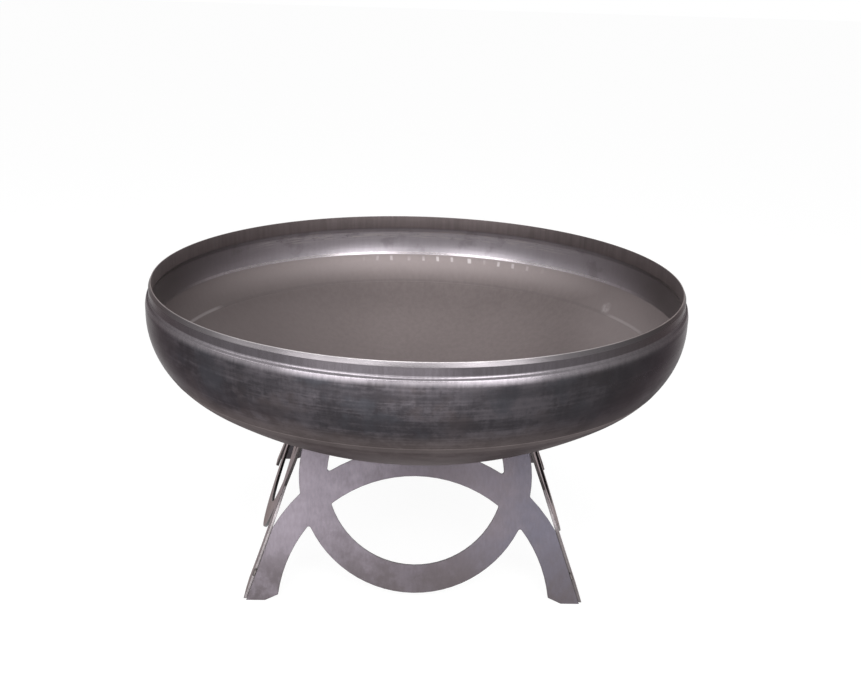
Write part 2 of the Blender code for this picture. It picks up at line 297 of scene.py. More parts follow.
class Steel:
    """A material in the making: canvas, shader, coordinates and the colour so far."""

    def __init__(self, effects: Effects, name: str, metallic: float, edge_tint: Colour = WHITE) -> None:
        """Start a material.

        Args:
            effects: The shared node groups.
            name: Name of the material.
            metallic: The shader's metallic value, the same all over.
            edge_tint: Colour of the reflection where the surface turns away.
        """
        self.effects = effects
        self.material = bpy.data.materials.new(name)
        self.material.use_nodes = True
        self.canvas = Canvas(self.material.node_tree)
        self.shader = self.material.node_tree.nodes["Principled BSDF"]
        self.shader.inputs["Metallic"].default_value = metallic
        self.shader.inputs["Specular Tint"].default_value = (*edge_tint, 1.0)
        self.place = self.canvas.node("ShaderNodeTexCoord").outputs["Object"]
        self.x, self.y, self.z = self.canvas.axes(self.place)
        self.colour: Socket | Colour = WHITE

    def clouds(self, scale: float, contrast: float, vector: Socket | None = None) -> Socket:
        """Place the clouds, on the piece's own coordinates if no others are given."""
        return self.effects.place(self.canvas, self.effects.clouds, scale=scale, contrast=contrast,
                                  vector=vector or self.place)

    def streaks(self, stretch: Triple, low: float, high: float, vector: Socket | None = None) -> Socket:
        """Place the streaks, on the piece's own coordinates if no others are given."""
        return self.effects.place(self.canvas, self.effects.streaks, stretch=stretch, low=low, high=high,
                                  vector=vector or self.place)

    def band(self, value: Socket, centre: float, half_width: float, softness: float) -> Socket:
        """Place a band, 1 where the value is near its centre."""
        return self.effects.place(self.canvas, self.effects.band, value=value, centre=centre,
                                  half_width=half_width, softness=softness)

    def specks(self, scale: float, size: float, amount: float, vector: Socket) -> Socket:
        """Place the specks, of a size and an amount from 0 to 1."""
        return self.effects.place(self.canvas, self.effects.specks, vector=vector, scale=scale, size=size,
                                  amount=amount)

    def paint(self, colour: Socket | Colour, share: Socket, strength: Socket | float = 1.0) -> None:
        """Lay a colour over the one so far, as much as the share times the strength says."""
        self.colour = self.canvas.tint(self.canvas.times(share, strength), self.colour, colour)

    def finish(self, roughness: Socket, relief: Socket, depth: float) -> Material:
        """Join colour, roughness and relief to the shader.

        Args:
            roughness: Roughness over the surface.
            relief: Height of the fine relief, 0 to 1.
            depth: Real height of the relief at 1, in metres.

        Returns:
            The finished material.
        """
        bump = self.canvas.node("ShaderNodeBump", {"Strength": 1.0, "Distance": depth, "Height": relief})
        self.canvas.feed(self.shader.inputs["Normal"], bump.outputs["Normal"])
        self.canvas.feed(self.shader.inputs["Base Color"], self.colour)
        self.canvas.feed(self.shader.inputs["Roughness"], roughness)
        return self.material


@dataclass(frozen=True)
class Handling:
    """How far the middle of the bowl across X, front and back, is painted brighter than its sides: partly
    wear, partly a painted highlight that fades towards the sides.
    """

    middle: float = -0.05
    full: float = 0.18
    gone: float = 0.42
    left_over: float = 0.15

    def share(self, steel: Steel) -> Socket:
        """Give the share of wear and painted highlight, 1 at the middle and less towards the sides.

        Args:
            steel: The material that is painted.

        Returns:
            The share.
        """
        c = steel.canvas
        off = c.math("ABSOLUTE", c.math("SUBTRACT", steel.x, self.middle))
        return c.blend(c.smooth(off, self.full, self.gone), 1.0, self.left_over)


@dataclass(frozen=True)
class BowlOutsideFinish:
    """Dark mill scale: mottled grey, with wear and a painted highlight on the shoulder, painted shade at
    the sides, matte below.

    Each ring gives its height, half its width and its softness.
    """

    dark: Colour = (0.034, 0.031, 0.035)
    mid: Colour = (0.098, 0.088, 0.098)
    shade_side: Colour = (0.0200, 0.0188, 0.0207)
    brown: Colour = (0.060, 0.048, 0.048)
    cool: Colour = (0.052, 0.053, 0.062)
    rim_band: Colour = (0.100, 0.090, 0.100)
    band_side: Colour = (0.036, 0.030, 0.030)
    worn_side: Colour = (0.054, 0.047, 0.049)
    worn: Colour = (0.240, 0.220, 0.238)
    scratch: Colour = (0.150, 0.135, 0.140)
    ring_line: Colour = (0.210, 0.180, 0.176)
    pale: Colour = (0.128, 0.110, 0.109)
    underside: Colour = (0.122, 0.103, 0.102)
    underside_dark: Colour = (0.082, 0.068, 0.067)
    metallic: float = 0.9
    edge_tint: Colour = (0.50, 0.465, 0.475)
    underside_roughness: float = 0.52
    side_roughness: float = 0.24
    rubbed_roughness: float = 0.27
    worn_rise: Pair = (0.4375, 0.4500)
    fray: float = 0.0007
    band_rise: Pair = (0.4560, 0.4576)
    underside_fall: Pair = (0.3740, 0.3400)
    dark_ring: Triple = (0.3815, 0.004, 0.010)
    neck_ring: Triple = (0.4290, 0.003, 0.008)
    crown_ring: Triple = (0.3325, 0.003, 0.0025)
    knuckle_ring: Triple = (0.3380, 0.0006, 0.0009)
    relief_scale: float = 420.0
    relief_depth: float = 0.00004
    handling: Handling = Handling()

    def material(self, effects: Effects) -> Material:
        """Build the material.

        Args:
            effects: The shared node groups.

        Returns:
            The finished material.
        """
        steel = Steel(effects, "bowl_outside_mill_scale", self.metallic, self.edge_tint)
        c = steel.canvas
        shade = self.mottling(steel)
        steel.colour = c.tint(shade, self.dark, self.mid)
        oxide = c.noise(steel.place, 11.0, 5.0, 0.6)
        steel.paint(self.brown, c.smooth(oxide, 0.52, 0.64), 0.5)
        steel.paint(self.cool, c.smooth(oxide, 0.48, 0.36), 0.6)
        # Two darker level rings: one low on the knuckle, and a painted shade just under the shoulder.
        ring, shoulder_shade = steel.band(steel.z, *self.dark_ring), steel.band(steel.z, *self.neck_ring)
        steel.paint(self.dark, c.math("MAXIMUM", ring, shoulder_shade), 0.4)
        below = c.smooth(steel.z, *self.underside_fall)
        steel.paint(c.tint(shade, self.underside_dark, self.underside), below, 0.9)
        # Painted shade: the right side, and the left side above the underside, are painted darker where
        # less light reaches them.
        drift = c.times(c.math("SUBTRACT", c.noise(steel.place, 5.0, 3.0, 0.5), 0.5), 0.25)
        sideways = c.math("ADD", steel.x, drift)
        right = c.times(c.smooth(sideways, 0.02, 0.34), c.blend(below, 0.8, 0.7))
        left = c.times(c.smooth(sideways, -0.24, -0.46), c.blend(below, 0.75, 0.0))
        steel.paint(self.shade_side, c.math("ADD", right, left))
        rubbed = self.rubbing(steel)
        clear = c.blend(shade, 0.5, 0.9)
        steel.paint(self.pale, steel.band(steel.z, *self.crown_ring), clear)
        steel.paint(self.ring_line, steel.band(steel.z, *self.knuckle_ring), clear)
        rough = c.blend(below, c.blend(shade, 0.40, 0.32), self.underside_roughness)
        smoother = c.math("ADD", left, c.times(right, c.smooth(steel.z, 0.370, 0.420)))
        rough = c.blend(rubbed, c.blend(smoother, rough, self.side_roughness), self.rubbed_roughness)
        relief = c.noise(steel.place, self.relief_scale, 3.0, 0.6)
        return steel.finish(rough, relief, self.relief_depth)

    def mottling(self, steel: Steel) -> Socket:
        """Blotches, upright wipes and level turning lines in the scale.

        Args:
            steel: The material that is mottled.

        Returns:
            The shade, 0 where it is darkest.
        """
        c = steel.canvas
        clouds = steel.clouds(6.0, 0.14)
        patches = steel.clouds(26.0, 0.12, c.stretched(steel.place, (1.0, 1.0, 1.8)))
        wiped = steel.streaks((120.0, 120.0, 16.0), 0.34, 0.66)
        rolled = steel.streaks((4.0, 4.0, 240.0), 0.40, 0.66)
        shade = c.weighed((clouds, 0.36), (patches, 0.34), (wiped, 0.12), (rolled, 0.18))
        return c.smooth(shade, 0.10, 0.90)

    def rubbing(self, steel: Steel) -> Socket:
        """Rub the shoulder and the rim band bright, paint a highlight on them that fades to the sides, and
        scatter small dings.

        Args:
            steel: The material that is rubbed.

        Returns:
            How far each spot is rubbed, 0 to 1.
        """
        c = steel.canvas
        wear_and_sheen_share = self.handling.share(steel)
        grain = steel.streaks((240.0, 240.0, 30.0), 0.3, 0.7)
        banded = c.smooth(steel.z, *self.band_rise)
        frayed = c.math("ADD", steel.z, c.times(c.math("SUBTRACT", grain, 0.5), self.fray))
        crest = c.smooth(frayed, *self.worn_rise)
        crest = c.times(crest, crest)
        # Painted highlight: the shoulder's crest is painted bright, most in the middle across X and less at
        # the sides, over its real wear.
        steel.paint(c.tint(wear_and_sheen_share, self.worn_side, self.worn), crest, c.blend(grain, 0.75, 1.0))
        # Painted highlight: the rim band is painted lighter in the middle across X than at the sides, over
        # its own scale.
        band_share = c.times(wear_and_sheen_share, c.blend(grain, 0.7, 1.0))
        steel.paint(c.tint(band_share, self.band_side, self.rim_band), banded)
        dings = steel.specks(42.0, 0.07, 0.10, c.stretched(steel.place, (1.0, 1.0, 0.5)))
        steel.paint(self.scratch, dings, 0.6)
        return c.math("MAXIMUM", crest, c.times(banded, 0.8))


@dataclass(frozen=True)
class BowlInsideFinish:
    """Pressed inside: matte taupe scale in the dish, blue-tinged and smoother on the flange, with painted
    light at the back.

    Each ring or row gives its height, half its width and its softness.
    """

    dish: Colour = (0.170, 0.143, 0.142)
    dish_shade: Colour = (0.124, 0.103, 0.102)
    dish_back: Colour = (0.256, 0.221, 0.220)
    dish_left: Colour = (0.106, 0.088, 0.088)
    flange: Colour = (0.425, 0.392, 0.428)
    flange_side: Colour = (0.128, 0.113, 0.116)
    band: Colour = (0.138, 0.113, 0.114)
    band_dark: Colour = (0.088, 0.072, 0.073)
    bright: Colour = (0.47, 0.435, 0.44)
    dark: Colour = (0.090, 0.078, 0.080)
    metallic: float = 0.75
    band_roughness: float = 0.5
    flange_rise: Pair = (0.3944, 0.3956)
    band_rise: Pair = (0.4470, 0.4530)
    crest_ring: Triple = (0.3980, 0.0015, 0.0015)
    press_ring: Triple = (0.3450, 0.0008, 0.0026)
    dent_row: Triple = (0.3870, 0.003, 0.003)
    scratch_row: Triple = (0.4370, 0.006, 0.005)
    dents_per_radian: float = 14.0
    scuff_place: Triple = (0.3705, 0.2220, 0.3543)
    scuff_reach: float = 0.015
    relief_scale: float = 600.0
    relief_depth: float = 0.00005

    def material(self, effects: Effects) -> Material:
        """Build the material.

        Args:
            effects: The shared node groups.

        Returns:
            The finished material.
        """
        steel = Steel(effects, "bowl_inside_scale", self.metallic)
        c = steel.canvas
        clouds = steel.clouds(5.0, 0.2)
        grain = steel.clouds(160.0, 0.3)
        upright = steel.streaks((120.0, 120.0, 8.0), 0.3, 0.7)
        shade = c.weighed((clouds, 0.35), (grain, 0.3), (upright, 0.35))
        behind = c.smooth(steel.y, 0.08, 0.40)
        steel.colour = c.tint(shade, self.dish_shade, self.dish)
        steel.paint(self.dish_left, c.smooth(steel.x, 0.0, -0.36), 0.6)
        # Painted light: the dish is painted lighter high at the back and on the right, where more light
        # falls.
        pale = c.math("MAXIMUM", c.times(behind, c.smooth(steel.z, 0.335, 0.390)),
                      c.times(c.smooth(steel.x, 0.28, 0.42), 0.7))
        steel.paint(self.dish_back, pale)
        flanged = c.smooth(steel.z, *self.flange_rise)
        banded = c.smooth(steel.z, *self.band_rise)
        # Painted light: the flange is painted bright at the back, where it faces the light, and darker at
        # the sides.
        flange_share = c.times(behind, c.blend(shade, 0.75, 1.0))
        steel.paint(c.tint(flange_share, self.flange_side, self.flange), flanged)
        # Painted shade: the flange is painted darker still on the left.
        steel.paint(self.dark, c.times(flanged, c.smooth(steel.x, -0.22, -0.40)), 0.4)
        stain = c.times(c.smooth(c.noise(steel.place, 20.0, 4.0, 0.6), 0.54, 0.66), flanged)
        steel.paint(self.flange_side, stain, 0.3)
        steel.paint(c.tint(c.blend(0.5, clouds, upright), self.band_dark, self.band), banded)
        # Painted highlight: a narrow bright ring low on the flange at the back.
        crest = c.times(steel.band(steel.z, *self.crest_ring), behind)
        steel.paint(self.bright, crest, c.blend(upright, 0.36, 0.74))
        self.press(steel)
        self.dent(steel)
        self.scratch(steel)
        rough = c.blend(flanged, c.blend(grain, 0.54, 0.62), c.blend(crest, 0.32, 0.24))
        relief = c.noise(steel.place, self.relief_scale, 3.0, 0.6)
        return steel.finish(c.blend(banded, rough, self.band_roughness), relief, self.relief_depth)

    def press(self, steel: Steel) -> None:
        """Add the ring left by the press, bright at its two sides, and a scuff at the right.

        Args:
            steel: The material that is marked.
        """
        c = steel.canvas
        ring = steel.band(steel.z, *self.press_ring)
        rubbed = steel.band(steel.y, 0.15, 0.04, 0.03)
        steel.paint(self.dark, ring, c.blend(rubbed, 0.16, 0.0))
        steel.paint(self.bright, ring, c.blend(rubbed, 0.0, 0.26))
        far = c.node("ShaderNodeVectorMath", {0: steel.place, 1: self.scuff_place}, operation="DISTANCE")
        near = c.smooth(far.outputs["Value"], self.scuff_reach, 0.4 * self.scuff_reach)
        steel.paint(self.bright, c.times(near, c.blend(steel.clouds(110.0, 0.08), 0.35, 1.0)), 0.35)

    def dent(self, steel: Steel) -> None:
        """Add a row of small upright dents at the back, painted as bright glints that are strongest just
        right of the middle.

        Args:
            steel: The material that is marked.
        """
        c = steel.canvas
        turn = c.times(c.math("ARCTAN2", steel.x, steel.y), self.dents_per_radian)
        wander = c.times(c.noise(steel.place, 14.0, 1.0, 0.5), 0.8)
        ticks = c.smooth(c.math("PINGPONG", c.math("ADD", turn, wander), 0.5), 0.12, 0.05)
        behind = c.times(c.smooth(steel.y, 0.30, 0.40), steel.band(steel.x, 0.08, 0.05, 0.17))
        hit = c.smooth(c.noise(steel.place, 16.0, 1.0, 0.5), 0.30, 0.60)
        row = steel.band(steel.z, *self.dent_row)
        # Painted highlight: the dents are painted as bright glints.
        steel.paint(self.bright, c.times(row, ticks), c.times(behind, hit))

    def scratch(self, steel: Steel) -> None:
        """Add level scratches and gouges high on the flange at the back.

        Args:
            steel: The material that is marked.
        """
        c = steel.canvas
        high = c.times(steel.band(steel.z, *self.scratch_row), c.smooth(steel.y, 0.30, 0.38))
        steel.paint(self.bright, steel.streaks((24.0, 24.0, 520.0), 0.52, 0.57), high)
        steel.paint(self.dark, c.times(steel.streaks((60.0, 60.0, 420.0), 0.38, 0.31), high), 0.7)


@dataclass(frozen=True)
class GroundLipFinish:
    """Ground bright steel on the rim's land and bevel, with wear and a painted highlight that is brightest
    in the middle.
    """

    land: Colour = (0.560, 0.530, 0.540)
    land_side: Colour = (0.230, 0.195, 0.188)
    bright: Colour = (0.160, 0.148, 0.156)
    dull: Colour = (0.030, 0.026, 0.027)
    metallic: float = 0.95
    edge_tint: Colour = (0.55, 0.51, 0.51)
    land_softness: Pair = (0.0009, 0.0002)
    relief_depth: float = 0.00002
    handling: Handling = Handling()

    def material(self, effects: Effects, top: float) -> Material:
        """Build the material.

        Args:
            effects: The shared node groups.
            top: Height of the rim's land.

        Returns:
            The finished material.
        """
        steel = Steel(effects, "ground_lip", self.metallic, self.edge_tint)
        c = steel.canvas
        clouds = steel.clouds(14.0, 0.15)
        lines = steel.streaks((30.0, 30.0, 1400.0), 0.4, 0.62)
        shade = c.blend(0.4, clouds, lines)
        # Painted highlight: the bevel and the land are painted brighter in the middle across X and darker
        # at the sides.
        rubbed = c.times(self.handling.share(steel), c.blend(shade, 0.75, 1.0))
        steel.colour = c.tint(rubbed, self.dull, self.bright)
        landed = c.smooth(steel.z, top - self.land_softness[0], top - self.land_softness[1])
        steel.paint(c.tint(rubbed, self.land_side, self.land), landed, c.blend(clouds, 0.6, 1.0))
        return steel.finish(c.blend(shade, 0.32, 0.25), lines, self.relief_depth)


@dataclass(frozen=True)
class PlateFaceFinish:
    """Flat hot-rolled plate: blue-grey scale with a straight grain and darker smudges, painted shade
    towards its right side, and darker towards the bottom.
    """

    scale: Colour = (0.188, 0.168, 0.197)
    blue: Colour = (0.081, 0.080, 0.104)
    dull: Colour = (0.098, 0.087, 0.101)
    smudge: Colour = (0.060, 0.053, 0.057)
    metallic: float = 0.6
    edge_tint: Colour = (1.0, 0.74, 0.68)
    half_width: float = 0.275
    foot_height: float = 0.125
    relief_depth: float = 0.00003

    def material(self, effects: Effects, side: Side) -> Material:
        """Build the material of one plate, with its grain running up the plate.

        Args:
            effects: The shared node groups.
            side: The side that the plate stands on.

        Returns:
            The finished material.
        """
        steel = Steel(effects, f"plate_face_{side.word}", self.metallic, self.edge_tint)
        c = steel.canvas
        across = c.rotated(steel.place, (0.0, 0.0, -side.turn))
        sideways = c.axes(across)[0]
        clouds = steel.clouds(9.0, 0.2)
        grain = steel.streaks((260.0, 260.0, 9.0), 0.3, 0.7, across)
        smears = steel.clouds(22.0, 0.10, across)
        # Painted shade: the plate is painted darker and cooler towards its right side, where less light
        # falls.
        drift = c.math("ADD", sideways, c.times(c.math("SUBTRACT", clouds, 0.5), 0.12))
        side_shade = c.smooth(drift, -0.75 * self.half_width, 0.9 * self.half_width)
        steel.colour = c.tint(side_shade, self.scale, self.blue)
        shift = c.times(c.smooth(steel.z, 0.06, 0.19), 0.25 * self.half_width)
        off = c.math("ABSOLUTE", c.math("SUBTRACT", drift, shift))
        middle = c.smooth(off, 0.74 * self.half_width, 0.22 * self.half_width)
        steel.paint(self.dull, middle, c.blend(smears, 0.6, 0.9))
        # Darker towards the bottom.
        low = c.smooth(steel.z, self.foot_height, 0.1 * self.foot_height)
        steel.paint(self.smudge, low, c.blend(smears, 0.45, 0.9))
        steel.paint(self.smudge, grain, 0.2)
        rough = c.blend(c.blend(0.5, grain, clouds), 0.44, 0.54)
        return steel.finish(rough, grain, self.relief_depth)


@dataclass(frozen=True)
class CutEdgeFinish:
    """Cut edge of a plate, with fine lines straight through the thickness."""

    name: str
    bright: Colour
    dark: Colour
    relief_depth: float
    metallic: float = 0.9
    dirt: Colour = (0.060, 0.052, 0.054)

    def material(self, effects: Effects, side: Side, lean: float) -> Material:
        """Build the material of one plate's cut edges.

        Args:
            effects: The shared node groups.
            side: The side that the plate stands on.
            lean: The plate's lean from upright, in radians.

        Returns:
            The finished material.
        """
        steel = Steel(effects, f"{self.name}_{side.word}", self.metallic)
        c = steel.canvas
        upright = c.rotated(c.rotated(steel.place, (0.0, 0.0, -side.turn)), (lean, 0.0, 0.0))
        lines = steel.streaks((900.0, 40.0, 900.0), 0.35, 0.65, upright)
        shade = c.blend(0.65, lines, steel.clouds(20.0, 0.2))
        steel.colour = c.tint(shade, self.dark, self.bright)
        # Painted shade: the edges are painted darker low on the right-hand side of the base, away from the
        # light.
        low_right_shade = c.times(c.smooth(steel.x, 0.1, 0.2), c.smooth(steel.z, 0.120, 0.105))
        steel.paint(self.dirt, low_right_shade, 0.7)
        return steel.finish(c.blend(shade, 0.45, 0.36), lines, self.relief_depth)


BURNT_EDGE = CutEdgeFinish("plate_burnt_edge", (0.066, 0.057, 0.057), (0.028, 0.024, 0.024), 0.00003)
CORNER_EDGE = CutEdgeFinish("plate_corner_edge", (0.240, 0.217, 0.225), (0.130, 0.115, 0.117), 0.00001)


@dataclass(frozen=True)
class WeldFinish:
    """Grey-brown weld metal with small dark marks."""

    dark: Colour = (0.075, 0.066, 0.066)
    straw: Colour = (0.130, 0.113, 0.110)
    metallic: float = 0.9
    relief_scale: float = 900.0
    relief_depth: float = 0.00006

    def material(self, effects: Effects) -> Material:
        """Build the material.

        Args:
            effects: The shared node groups.

        Returns:
            The finished material.
        """
        steel = Steel(effects, "weld_metal", self.metallic)
        c = steel.canvas
        clouds = steel.clouds(180.0, 0.15)
        steel.colour = c.tint(clouds, self.dark, self.straw)
        relief = c.noise(steel.place, self.relief_scale, 2.0, 0.5)
        return steel.finish(c.blend(clouds, 0.5, 0.4), relief, self.relief_depth)


def arc(centre: Point, radius: float, start: float, end: float, segments: int) -> list[Point]:
    """Points of a circular arc, both ends included.

    Args:
        centre: Centre of the arc.
        radius: Radius of the arc.
        start: First angle in radians.
        end: Last angle in radians.
        segments: Number of straight pieces.

    Returns:
        The points in order.
    """
    angles = [start + (end - start) * i / segments for i in range(segments + 1)]
    return [(centre[0] + radius * math.cos(a), centre[1] + radius * math.sin(a)) for a in angles]


def softened(before: Point, corner: Point, after: Point, reach: float) -> list[Point]:
    """Replace a corner by a short curve that starts and ends a given way from it.

    Args:
        before: The point before the corner.
        corner: The corner.
        after: The point after the corner.
        reach: How far the curve reaches along both sides.

    Returns:
        The points of the curve.
    """
    here = Vector(corner)
    first = here + (Vector(before) - here).normalized() * reach
    last = here + (Vector(after) - here).normalized() * reach
    points = []
    for i in range(CORNER_STEPS + 1):
        t = i / CORNER_STEPS
        spot = first * (1.0 - t) ** 2 + here * (2.0 * t * (1.0 - t)) + last * t ** 2
        points.append((spot.x, spot.y))
    return points


def add_piece(name: str, bm: bmesh.types.BMesh, materials: list[Material],
              sharp_angle: float) -> bpy.types.Object:
    """Turn a bmesh into a piece of the scene.

    Args:
        name: Name of the piece.
        bm: The mesh, which is freed.
        materials: Materials in the order of their indices.
        sharp_angle: Angle above which an edge is shaded sharp, in radians.

    Returns:
        The new object.
    """
    mesh = bpy.data.meshes.new(name)
    bm.to_mesh(mesh)
    bm.free()
    for material in materials:
        mesh.materials.append(material)
    mesh.shade_smooth()
    mesh.set_sharp_from_angle(angle=sharp_angle)
    piece = bpy.data.objects.new(name, mesh)
    bpy.context.scene.collection.objects.link(piece)
    LOG.info("%s: %d faces", name, len(mesh.polygons))
    return piece


def merged_copy(node: str) -> bmesh.types.BMesh:
    """Copy a node's solid with its loose triangles joined up again.

    Args:
        node: Name of the node.

    Returns:
        A bmesh whose triangles share their vertices.
    """
    bm = bmesh.new()
    bm.from_mesh(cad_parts[node].data)
    bmesh.ops.remove_doubles(bm, verts=bm.verts[:], dist=MERGE_DISTANCE)
    return bm


@dataclass
class FireBowl:
    """The dished bowl: spherical crown, knuckle, flange and stepped rim of one wall."""

    radius: float
    bottom: float
    top: float
    wall: float = 0.00476
    crown_radius: float = 0.7011
    knuckle_radius: float = 0.1378
    drain_radius: float = 0.0064
    rim_inset: float = 0.0062
    rim_band_height: float = 0.0234
    rim_shoulder_drop: float = 0.0128
    rim_bevel_height: float = 0.0067
    rim_land: float = 0.0016
    blend_width: float = 0.0018
    blend_height: float = 0.0034
    groove_width: float = 0.0006
    groove_depth: float = 0.0005
    shoulder_round: float = 0.004
    shoulder_bend: float = 0.018
    edge_softness: float = 0.0005
    ring_mark_angle: float = math.radians(-38.6)
    ring_mark_width: float = 0.0011
    ring_mark_height: float = 0.00025
    groove_angle: float = math.radians(65.0)
    inward_limit: float = -0.5
    inside_aim: float = 0.1
    knuckle_steps: int = 36
    crown_steps: int = 40
    bend_steps: int = 12
    round_steps: int = 10
    curve_steps: int = 8
    turns: int = 256

    @property
    def knuckle_centre(self) -> Point:
        """Centre of the knuckle's arc, as radius and height."""
        reach = self.radius - self.knuckle_radius
        rise = math.sqrt((self.crown_radius - self.knuckle_radius) ** 2 - reach ** 2)
        return (reach, self.bottom + self.crown_radius - rise)

    @property
    def crown_centre(self) -> Point:
        """Centre of the crown's sphere, as radius and height."""
        return (0.0, self.bottom + self.crown_radius)

    @property
    def join_angle(self) -> float:
        """Angle from level at which the knuckle meets the crown, in radians."""
        reach, height = self.knuckle_centre
        return -math.atan2(self.crown_centre[1] - height, reach)

    def knuckle(self, inset: float) -> list[Point]:
        """Knuckle from the flange to the crown, with a faint ring pressed into it.

        Args:
            inset: How far the surface lies inside the outer one.

        Returns:
            Points from the top down.
        """
        centre = self.knuckle_centre
        radius = self.knuckle_radius - inset
        width = self.ring_mark_width / radius
        angles = [self.join_angle * i / self.knuckle_steps for i in range(self.knuckle_steps + 1)]
        near, step = 2.2 * width, 0.5 * width
        angles = [a for a in angles if abs(a - self.ring_mark_angle) > near]
        angles += [self.ring_mark_angle + step * k for k in range(-4, 5)]
        points = []
        for angle in sorted(angles, reverse=True):
            rise = self.ring_mark_height * math.exp(-((angle - self.ring_mark_angle) / width) ** 2 * 2.0)
            reach = radius + rise
            points.append((centre[0] + reach * math.cos(angle), centre[1] + reach * math.sin(angle)))
        return points

    def crown(self, inset: float) -> list[Point]:
        """Crown from the knuckle to the drain hole.

        Args:
            inset: How far the surface lies inside the outer one.

        Returns:
            Points from the outside in.
        """
        radius = self.crown_radius - inset
        drain = -math.acos(self.drain_radius / radius)
        return arc(self.crown_centre, radius, self.join_angle, drain, self.crown_steps)

    def outer_rim(self) -> list[Point]:
        """Outside of the rim: land, bevel, band, blend, groove and tapered shoulder."""
        band = self.radius - self.rim_inset
        crease = self.top - self.rim_band_height
        land = (band - self.wall + self.rim_land, self.top)
        bevel = (band, self.top - self.rim_bevel_height)
        inner = (band - self.wall, self.top)
        points = softened((inner[0], crease), inner, land, self.edge_softness)
        points += softened(inner, land, bevel, self.edge_softness)
        points += softened(land, bevel, (band, crease), self.edge_softness)
        turn = 2.0 * math.atan(self.blend_width / self.blend_height)
        radius = self.blend_height / math.sin(turn)
        points += arc((band + radius, crease + self.blend_height), radius, math.pi, math.pi + turn,
                      self.curve_steps)
        lip = band + self.blend_width
        points.append((lip + 0.5 * self.groove_width, crease - self.groove_depth))
        centre = (lip + self.groove_width - self.shoulder_round * math.cos(self.groove_angle),
                  crease - self.shoulder_round * math.sin(self.groove_angle))
        bend = (self.radius - self.shoulder_bend, crease - self.rim_shoulder_drop)
        across, up = centre[0] - bend[0], centre[1] - bend[1]
        share = (self.shoulder_bend - self.shoulder_round) / math.hypot(across, up)
        taper = math.atan2(up, across) - math.acos(share)
        points += arc(centre, self.shoulder_round, self.groove_angle, taper, self.round_steps)
        points += arc(bend, self.shoulder_bend, taper, 0.0, self.curve_steps)
        return points

    def inner_rim(self) -> list[Point]:
        """Inside of the rim: the band and a smooth bend out to the flange below it."""
        band = self.radius - self.rim_inset - self.wall
        crease = self.top - self.rim_band_height
        points = []
        for i in range(self.bend_steps + 1):
            share = i / self.bend_steps
            out = 0.5 * self.rim_inset * (1.0 - math.cos(math.pi * share))
            points.append((band + out, crease - self.rim_shoulder_drop * share))
        return points

    def outline(self) -> list[Point]:
        """Closed outline of the wall: down the outside, then up the inside."""
        outside = self.outer_rim() + self.knuckle(0.0) + self.crown(0.0)[1:]
        inside = self.inner_rim() + self.knuckle(self.wall) + self.crown(self.wall)[1:]
        return outside + inside[::-1]

    def zone_of(self, face: bmesh.types.BMFace) -> BowlZone:
        """Tell which surface a face belongs to.

        Args:
            face: A face of the turned bowl.

        Returns:
            The face's zone.
        """
        centre = face.calc_center_median()
        outward = face.normal.dot(Vector((centre.x, centre.y, 0.0)).normalized())
        lip_bottom = self.top - self.rim_bevel_height - self.edge_softness
        if centre.z > lip_bottom and outward > self.inward_limit:
            return BowlZone.LIP
        inward = Vector((0.0, 0.0, self.knuckle_centre[1] + self.inside_aim)) - centre
        return BowlZone.INSIDE if face.normal.dot(inward) > 0.0 else BowlZone.OUTSIDE

    def build(self, effects: Effects) -> bpy.types.Object:
        """Turn the outline about the vertical axis and dress it.

        Args:
            effects: The shared node groups.

        Returns:
            The bowl.
        """
        bm = bmesh.new()
        verts = [bm.verts.new((radius, 0.0, height)) for radius, height in self.outline()]
        edges = [bm.edges.new((verts[i - 1], verts[i])) for i in range(len(verts))]
        bmesh.ops.spin(bm, geom=verts + edges, cent=ORIGIN, axis=(0.0, 0.0, 1.0), angle=math.tau,
                       steps=self.turns, use_merge=True)
        bmesh.ops.recalc_face_normals(bm, faces=bm.faces[:])
        for face in bm.faces:
            face.material_index = self.zone_of(face).value
        materials = [
            BowlOutsideFinish().material(effects),
            BowlInsideFinish().material(effects),
            GroundLipFinish().material(effects, self.top),
        ]
        piece = add_piece("fire_bowl_skin", bm, materials, sharp_angle=math.radians(40.0))
        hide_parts("fire_bowl")
        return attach(piece, "bowl")


